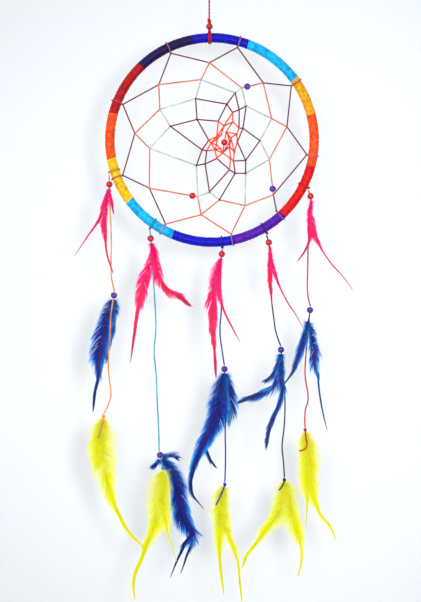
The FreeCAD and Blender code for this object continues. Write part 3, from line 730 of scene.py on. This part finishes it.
def make_hanger():
    """The eye with its knot, the cord, and what ties the cord to the top of the hoop."""
    foot = EYE_KNOT_FOOT + EYE_KNOT_H + 0.2
    loop = [(-x, z) for x, z in EYE_SIDE] + [(0, EYE_CROWN)] + EYE_SIDE[::-1]
    free_cord("eye_loop", steps_from((0, 0, foot), loop), CORD_D, "cord_red", "hanging_eye",
              2, 0.3)
    route = [np.array([x, 0, SWING_Z + (CORD_FOOT_Z - SWING_Z) * s])
             for x, s in ((0, -0.024), (CORD_SLACK, 0.33), (-CORD_SLACK, 0.67), (0, 1.0))]
    free_cord("hanging_cord", route, CORD_D, "cord_red", "hanging_cord", 2, 0.3)

    middle = (0, 0, EYE_KNOT_FOOT + EYE_KNOT_H / 2)
    parts = Parts()
    for height in (-1.6, 0.0, 1.6):
        parts.add(coil((0, 0, middle[2] + height), (0.15, 0, 1), 1.75, 0.8, 1.15, 1.0, 0.3, height))
    parts.add(coil(middle, (0.9, 0.5, 0.5), 1.7, 0.75, 1.1, 0.4))
    parts.add(coil(middle, (0, 0, 1), 0.6, 0.8, 2.0, 1.9))
    parts.make("eye_knot", "_wound", "hanging_eye", ["cord_red"])

    up = unit(hoop_point(HITCH_ANGLE, 1) - hoop_point(HITCH_ANGLE, 0))
    parts = Parts()
    wound_knot(parts, hoop_point(HITCH_ANGLE, TOP_KNOT_OUT), up, 3.7, 0.8)
    parts.make("top_knot", "_wound", "hoop", ["cord_red"])
    bead("top_bead", hoop_point(HITCH_ANGLE, TOP_BEAD_OUT), up, TOP_BEAD_D, "bead_red", "hoop")
    parts = Parts()
    for shift in (-0.85, 0.85):
        parts.add(ring_round_hoop(HITCH_ANGLE, 0.75, shift, 0.25))
    wound_knot(parts, hoop_point(HITCH_ANGLE, HITCH_OUT), up, 3.0, 0.75)
    shank = np.array([hoop_point(HITCH_ANGLE, r) for r in np.linspace(*SHANK_OUT, 24)])
    parts.add(tube(shank, 0.8, 2, 6.0, 0.3))
    parts.make("hanger_hitch", "_wound", "hoop", ["cord_red"])


# ---- the wrapped hoop ----
RIBBON_TURNS = 196
ACROSS = 7
AROUND = 32
WOUND_FROM = math.radians(-90.0)
# The ribbon's low edge below the wrapping's radius, its crown above that, and its step up
RIBBON_SUNK = 0.32
RIBBON_CROWN = 0.26
RIBBON_STEP = 0.1


def run_colour(angle):
    """The colour of the ribbon at an angle on the hoop."""
    angle = (angle - RIBBON_RUNS[0][0]) % 360 + RIBBON_RUNS[0][0]
    return [colour for begins, colour in RIBBON_RUNS if begins <= angle][-1]


def make_wrapping():
    """The ribbon as one helix of raised turns round the ring, each turn in its run's colour."""
    random = np.random.default_rng(11)
    i = np.arange(RIBBON_TURNS * ACROSS)
    j = np.arange(AROUND)
    phase = i[:, None] / ACROSS + j[None, :] / AROUND
    theta = WOUND_FROM + 2 * math.pi * phase / RIBBON_TURNS
    phi = 2 * math.pi * j[None, :] / AROUND + 0 * theta
    share = (i % ACROSS) / ACROSS
    crown = RIBBON_CROWN * np.sin(math.pi * share) ** 0.6 + RIBBON_STEP * share
    puff = random.uniform(-0.07, 0.05, RIBBON_TURNS)
    turn = i // ACROSS
    ripple = (0.05 * np.sin(phi * 3 + turn[:, None] * 1.7)
              + 0.04 * np.sin(phi * 7 + turn[:, None] * 2.9))
    radius = TUBE_R - RIBBON_SUNK + crown[:, None] + puff[turn][:, None] + ripple
    reach = HOOP_R + radius * np.cos(phi)
    verts = np.stack([HOOP_X + reach * np.cos(theta), radius * np.sin(phi),
                      HOOP_Z + reach * np.sin(theta)], axis=2).reshape(-1, 3)
    names = sorted({c for _, c in RIBBON_RUNS})
    # where on the hoop the front of each turn shows
    front = 1.25 + 0.2 * random.uniform(-0.35, 0.35, RIBBON_TURNS)
    faces, uvs, slots = [], [], []
    total = len(i)
    for a in range(total):
        t = a // ACROSS
        angle = math.degrees(WOUND_FROM + 2 * math.pi * (t + front[t]) / RIBBON_TURNS)
        slots += [names.index(run_colour(angle))] * AROUND
        b = (a + 1) % total
        for c in range(AROUND):
            if c < AROUND - 1:
                a2, b2, d = a, b, c + 1
            else:
                a2, b2, d = (a + ACROSS) % total, (b + ACROSS) % total, 0
            faces.append((a * AROUND + c, b * AROUND + c, b2 * AROUND + d, a2 * AROUND + d))
            u0, u1 = a / ACROSS, (a + 1) / ACROSS
            v0, v1 = c / AROUND, (c + 1) / AROUND
            uvs += [(u0, v0), (u1, v0), (u1, v1), (u0, v1)]
    add_piece("ribbon_wrapping", "hoop_wrap", "hoop", verts, faces, names, uvs, slots)


# ---- the web ----
def make_web():
    """The web's one thread, in its runs of colour, with its half hitches and its beads."""
    knots = [hoop_point(a, HOOP_R - TUBE_R - WEB_KNOT_OFF) for a in HOOP_HITCHES]
    knots += steps_from(CENTRE, INNER_KNOTS)
    last = len(knots) - 1
    loops = last + 1
    knots += steps_from(CENTRE, LAST_LOOPS)
    names = [c for _, c in WEB_COLOURS] + ["web_pale"]
    centre_slot, hoop_slot = len(names) - 2, len(names) - 1
    parts = Parts()

    def slot_at(k):
        return next(i for i, (until, _) in enumerate(WEB_COLOURS) if k < until)

    def stretch(a, b, slot):
        p, q = knots[a], knots[b]
        line = np.linspace(p, q, max(4, int(np.linalg.norm(q - p) / 0.5)))
        parts.add(tube(line, THREAD_R, 3, THREAD_D * 3.3, 0.16, 10), slot)

    for k in range(last):
        hitch = k + ROUND
        if hitch <= last:
            stretch(k, hitch, slot_at(k))
            stretch(hitch, k + 1, slot_at(k))
        else:
            stretch(k, k + 1, slot_at(k))
    stretch(last, last - 3, centre_slot)
    for k in range(len(LAST_LOOPS)):
        near = last - len(LAST_LOOPS) + k
        stretch(near, loops + k, centre_slot)
        stretch(loops + k, near + 1, centre_slot)
    for k in LINKED_LOOPS:
        stretch(loops + k, loops + k + 1, centre_slot)
    for k, place in enumerate(knots):
        after = knots[k + 1] if k < last else knots[last - 3] + np.array([0, 0, 0.01])
        parts.add(coil(place, after - place, 0.62, 0.52, 1.5, 0.9, 0.15, k),
                  slot_at(min(k, last - 1)))
    for angle in HOOP_HITCHES:
        parts.add(ring_round_hoop(angle, THREAD_R * 0.9, 0.0, 0.5), hoop_slot)
    parts.make("web_thread", "_knotted", "hoop", names)
    for name, a, b, along, material in WEB_BEADS:
        axis = unit(knots[b] - knots[a])
        bead(name, knots[a] + axis * along, axis, BEAD_D, material, "hoop")


# ---- feathers ----
# Spacing and width of barbs, share of the feather that is fluffy, and its down's length and count
KINDS = {
    "pink": (0.15, 0.36, 0.26, 4.6, 340),
    "blue": (0.14, 0.38, 0.24, 6.0, 480),
    "yellow": (0.13, 0.32, 0.42, 7.0, 900),
}
# How wide a feather is near its head, as a share of its widest, and how wide its vane and its
# tail are, as a share of their half widths in the table
HEAD_SHARE = {"pink": 0.8, "blue": 0.75, "yellow": 1.0}
VANE_SHARE = {"pink": 1.0, "blue": 1.0, "yellow": 1.05}
TAIL_SHARE = {"pink": 0.85, "blue": 0.9, "yellow": 0.55}
# How much of the quill is bare below the bead
BARE_QUILL = {"blue_feathers_5": 7.5}
BARE_USUAL = 0.8
QUILL_R = 0.42
LONGEST_BARB = 19.0
# The side on which each strand's feathers lie: -1 is in front of the thread
SIDES = {"pink": (-1, -1, -1, -1, -1), "blue": (1, 1, 1, -1, -1), "yellow": (1, -1, 1, 1, 1)}
# No barb stands further than this in front of or behind the hoop's middle
FRONT_LIMIT = 12.5
SAMPLES = 240
STEPS = 7


def smooth_line(control):
    """A smooth line and its half widths through (x, z, half width) points."""
    control = np.asarray(control, float)
    at = distances(control[:, :2])
    slopes = np.gradient(control, at, axis=0)
    want = np.linspace(0, at[-1], SAMPLES)
    k = np.clip(np.searchsorted(at, want, side="right") - 1, 0, len(at) - 2)
    h = (at[k + 1] - at[k])[:, None]
    t = ((want - at[k]) / (at[k + 1] - at[k]))[:, None]
    line = ((2 * t ** 3 - 3 * t ** 2 + 1) * control[k] + (t ** 3 - 2 * t ** 2 + t) * h * slopes[k]
            + (-2 * t ** 3 + 3 * t ** 2) * control[k + 1] + (t ** 3 - t ** 2) * h * slopes[k + 1])
    line[:, 2] = np.maximum(line[:, 2], 0.12)
    return line, at[-1]


def strips(centre, facing, widths, along):
    """Thin tapered strips along centre lines given as (strip, step, xyz), as one shell."""
    count = len(centre)
    direction = units(np.gradient(centre, axis=1))
    across = units(np.cross(direction, np.broadcast_to(facing[:, None, :], centre.shape)))
    t = np.linspace(0, 1, STEPS)
    half = widths[:, None] * (1 - 0.88 * t[None, :] ** 1.4) / 2
    both = np.stack([centre - across * half[:, :, None], centre + across * half[:, :, None]], axis=2)
    first = (np.arange(count)[:, None] * STEPS + np.arange(STEPS - 1)[None, :]).ravel() * 2
    faces = np.stack([first, first + 1, first + 3, first + 2], axis=1)
    u = np.repeat(along, (STEPS - 1) * 4)
    low, high = t[:-1], t[1:]
    v = np.tile(np.stack([low, low, high, high], axis=1).ravel(), count)
    return both.reshape(-1, 3), faces.tolist(), np.stack([u, v], axis=1).tolist()


def grown(start, ahead, aside, opening, lengths, lift):
    """Centre lines that leave start at opening's first angles and end at its second ones."""
    t = np.linspace(0, 1, STEPS)
    angle = opening[0][:, None] * (1 - t) + opening[1][:, None] * t
    move = lengths[:, None] / (STEPS - 1) * (t > 0)
    forward = np.cumsum(np.cos(angle) * move, axis=1)
    sideways = np.cumsum(np.sin(angle) * move, axis=1)
    centre = (start[:, None, :] + ahead[:, None, :] * forward[:, :, None]
              + aside[:, None, :] * sideways[:, :, None])
    centre[:, :, 1] += lift[:, None] * t[None, :] ** 1.5
    return centre


def add_feather(parts, control, kind, side, place, bare, random):
    """Adds the quill, vane and down of one feather, from where it is tied."""
    spacing, width, fluffy, down_length, down_count = KINDS[kind]
    line, length = smooth_line(control)
    s = np.linspace(0, 1, SAMPLES)
    sweep = random.uniform(0.4, 2.0)
    y = side * (1.1 + 0.95 * place + sweep * s ** 1.5)
    spine = np.stack([line[:, 0], y, line[:, 1]], axis=1)
    ahead = units(np.gradient(spine, axis=0))
    aside = units(np.cross(ahead, [0, 1, 0]))
    tail = np.clip((s - 0.42) / 0.15, 0, 1)
    half = line[:, 2] * (VANE_SHARE[kind] * (1 - tail) + TAIL_SHARE[kind] * tail)
    head = HEAD_SHARE[kind] * half.max() * np.clip((s * length - bare) / 5.0, 0, 1) ** 0.6
    half = np.where(np.arange(SAMPLES) < int(half.argmax()), np.maximum(half, head), half)
    quill = tube(spine[::6], QUILL_R, 0, 1.0, 0.0, 6, 0.16 + 0.84 * (1 - s[::6]) ** 0.8)
    parts.add(quill, 1, np.zeros(len(quill[0])))

    def add(centre, facing, widths, along, own):
        parts.add(strips(centre, facing, widths, along), 0, np.repeat(own, STEPS * 2))

    def sample(at):
        index = np.clip((at * (SAMPLES - 1)).astype(int), 0, SAMPLES - 1)
        return half[index], spine[index], ahead[index], aside[index]

    first = (bare + 0.4) / length
    widest = half.max()
    for hand in (-1.0, 1.0):
        count = int(length * (1 - first) / spacing)
        at = np.sort(random.uniform(first, 0.998, count))
        reach, start, onward, outward = sample(at)
        body = np.clip(reach / max(widest, 2.5), 0, 1)
        broad = np.clip((reach - 5) / 6, 0, 1)
        fluff = np.clip(1 - (at - first) / fluffy, 0, 1)
        clump = np.cumsum(random.uniform(0, 1, count) < 0.09)
        clumps = clump[-1] + 1
        ragged = random.normal(1, 0.13, clumps)[clump]
        opening = np.radians(10 + 17 * body + 20 * broad + 26 * fluff)
        opening += random.normal(0, 0.03, count)
        opening += random.normal(0, 0.05, clumps)[clump] * body
        opening += random.normal(0, 0.2, count) * fluff
        opening = np.clip(opening, 0.12, 1.6)
        lengths = reach / np.sin(opening * 0.85) * (1 + (ragged - 1) * (0.25 + 0.75 * body))
        lengths *= 1 + random.normal(0, 0.05, count) + random.normal(0, 0.2, count) * fluff
        lengths = np.clip(lengths, 0.5, LONGEST_BARB)
        lift = (random.normal(0, 0.3, clumps)[clump] + random.normal(0, 0.15, count)) * body
        lift += side * 0.12 * reach + random.normal(0, 1.3, count) * fluff
        centre = grown(start, onward, outward * hand, (opening * 1.2, opening * 0.55), lengths, lift)
        tilt = random.normal(0, 0.25, count) + random.normal(0, 0.7, count) * fluff
        facing = onward * np.sin(tilt)[:, None]
        facing[:, 1] += np.cos(tilt)
        widths = np.minimum(width * (1 - 0.5 * fluff), 0.5 * reach + 0.12)
        add(centre, facing, widths, at,
            random.uniform(0, 0.5, count) + random.uniform(0, 0.5, clumps)[clump])

    down = int(down_count * min(1.0, widest / 5.0))
    at = first + (fluffy * 0.9) * random.uniform(0, 1, down) ** 1.4
    _, start, onward, outward = sample(at)
    size = min(1.0, 0.3 + widest / 8.0)
    lengths = down_length * size * random.uniform(0.5, 1.3, down)
    hand = np.sign(random.uniform(-1, 1, down))[:, None]
    opens = random.uniform(0.4, 1.7, down)
    curl = random.normal(-0.2, 0.9, down)
    lift = random.normal(side * 0.5, 0.35 * down_length * size, down)
    centre = grown(start, onward, outward * hand, (opens, opens + curl), lengths, lift)
    add(centre, random.normal(0, 1, (down, 3)), np.full(down, 0.2), at,
        random.uniform(0.5, 1.0, down))


def make_feathers(kind, number, root, body):
    """All the feathers of one kind that are tied at one place on a strand, as one piece."""
    name = "%s_feathers_%d" % (kind, number)
    random = np.random.default_rng(sum(ord(c) * (i + 1) for i, c in enumerate(name)))
    bare = BARE_QUILL.get(name, BARE_USUAL)
    parts = Parts()
    for place, control in enumerate(FEATHERS[name]):
        add_feather(parts, control, kind, SIDES[kind][number - 1], place, bare, random)
    for points in parts.verts:
        points += root
        points[:, 1] = np.clip(points[:, 1], -FRONT_LIMIT, FRONT_LIMIT)
    parts.make(name, "_barbs", body, [kind, "quill_" + kind])


# ---- the strands ----
# Size of each knot over its windings, and its thread's radius
HITCH_KNOT = (2.75, 0.55)
END_KNOT = (3.1, 0.6)
# Gaps from a bead to its feathers, and from the bend to the second bead and to the lower thread
FEATHER_GAP = 0.15
BEND_GAP = 0.3
THREAD_FROM = 1.2


def short_thread(points):
    """The shell of a thread that is too short to be a free cord, or of a knot's tail."""
    return tube(resample(points, 0.3), THREAD_R, 3, 3.4)


def make_strand(number):
    """One hanging thread with its hitch, beads, knots and feathers."""
    strand = STRANDS[number]
    material = strand["thread"]
    top, bend, end = (joint_at["strand_%d_%s" % (number, joint)]
                      for joint in ("swing", "lower_swing", "tip_swing"))
    upper_body, lower_body, end_body = ("strand_%d_%s" % (number, part)
                                        for part in ("upper", "lower", "end"))

    knot = top + np.array([0, 0, KNOT_D / 2 + JOINT_GAP + THREAD_R])
    parts = Parts()
    parts.add(ring_round_hoop(strand["hitch"], THREAD_R * 0.9, 0.0, 0.3))
    wound_knot(parts, knot, unit(knot - hoop_point(strand["hitch"], HOOP_R)), *HITCH_KNOT)
    parts.make("hitch_%d" % number, "_wound", "hoop", [material])

    upper = steps_from(top, strand["upper"])
    first = unit(upper[1] - upper[0])
    free_cord("upper_thread_%d" % number, upper, THREAD_D, material, upper_body)
    red_at = top + first * strand["bead"]
    bead("red_bead_%d" % number, red_at, first, BEAD_D, "bead_red", upper_body)
    make_feathers("pink", number, red_at + first * (BEAD_D / 2 + FEATHER_GAP), upper_body)

    steps = steps_from(bend, strand["lower"])
    second = unit(steps[0] - bend)
    lower = [bend + second * THREAD_FROM] + steps
    name = "lower_thread_%d" % number
    if len(lower) > 2:
        free_cord(name, lower, THREAD_D, material, lower_body)
    else:
        parts = Parts()
        parts.add(short_thread(lower))
        parts.make(name, "_link", lower_body, [material])
    purple_at = bend + second * (BEND_GAP + BEAD_D / 2)
    bead("purple_bead_%d" % number, purple_at, second, BEAD_D, "bead_violet", lower_body)
    make_feathers("blue", number, purple_at + second * (BEAD_D / 2 + FEATHER_GAP), lower_body)

    knot = end - np.array([0, 0, THREAD_R + JOINT_GAP + KNOT_D / 2])
    tail = [knot] + steps_from(end, strand["tail"])
    parts = Parts()
    wound_knot(parts, knot, (0, 0, 1), *END_KNOT)
    parts.add(short_thread(nurbs_line(tail) if len(tail) > 2 else tail))
    parts.make("end_knot_%d" % number, "_wound", end_body, [material])
    make_feathers("yellow", number, knot - np.array([0, 0, KNOT_D / 2 + JOINT_GAP]), end_body)


make_hanger()
make_wrapping()
make_web()
for strand_number in STRANDS:
    make_strand(strand_number)


# ---- wall, floor, light ----
WALL_Y = 360.0
FLOOR_Z = -900.0
WIDE = 4000.0
HIGH = 3000.0
AIM = (HOOP_X, 0, HOOP_Z + VIEW_DZ)
POOL = (HOOP_X + 80, 0, HOOP_Z + VIEW_DZ - 10)
FLASH_Y = -1980.0
FLASH_CONE = math.radians(29)


def backdrop(name, corners, material):
    """A flat part of the stage."""
    add_mesh(name, corners, [(0, 1, 2, 3)], [material], smooth=False)


def paint(name):
    """Matt wall paint with a faint unevenness."""
    return grain_look(name, 3.0, [(0.3, (0.73, 0.742, 0.75)), (0.7, (0.75, 0.762, 0.77))],
                      Roughness=0.9, Specular_IOR_Level=0.1)


def lamp(name, kind, place, aim, **settings):
    """A lamp at place that points at aim."""
    data = bpy.data.lights.new(name, kind)
    for key, value in settings.items():
        setattr(data, key, value)
    obj = bpy.data.objects.new(name, data)
    bpy.context.scene.collection.objects.link(obj)
    obj.location = to_m(place)
    obj.rotation_mode = "QUATERNION"
    obj.rotation_quaternion = (Vector(to_m(aim)) - obj.location).to_track_quat("-Z", "Y")


# The wall is clear from its back, so that it doesn't hide the object in views from behind
wall_look = paint("wall_paint")
clear = wall_look.node("BsdfTransparent", {})["BSDF"]
wall_look.mix_with(wall_look.node("NewGeometry", {})["Backfacing"], clear)
backdrop("wall", [(x * WIDE, WALL_Y, z) for x, z in ((-1, FLOOR_Z), (1, FLOOR_Z), (1, HIGH), (-1, HIGH))],
         wall_look.material)
backdrop("floor", [(x * WIDE, y * WIDE, FLOOR_Z) for x, y in ((-1, -1), (1, -1), (1, 1), (-1, 1))],
         paint("floor_paint").material)

world = bpy.data.worlds.new("studio")
bpy.context.scene.world = world
world.use_nodes = True
background = world.node_tree.nodes["Background"].inputs
background["Color"].default_value = (0.93, 0.96, 1.0, 1.0)
background["Strength"].default_value = 0.98
# Two small lamps beside the camera, whose pool of light fades towards its edge
for name, x, z, power, radius in (("flash_right", 110, 45, 66, 60), ("flash_left", -75, 40, 34, 70)):
    lamp(name, "SPOT", (HOOP_X + x, FLASH_Y, HOOP_Z + VIEW_DZ + z), POOL, energy=power,
         shadow_soft_size=radius * MM, spot_size=FLASH_CONE, spot_blend=1.0)
# Two large square soft lamps
for name, place, size, power in (("left", (-1500, -1300, 900), 900, 13),
                                 ("behind", (900, 1500, 500), 1200, 17)):
    lamp(name, "AREA", place, AIM, energy=power, size=size * MM)
bpy.context.scene.view_settings.view_transform = "Standard"
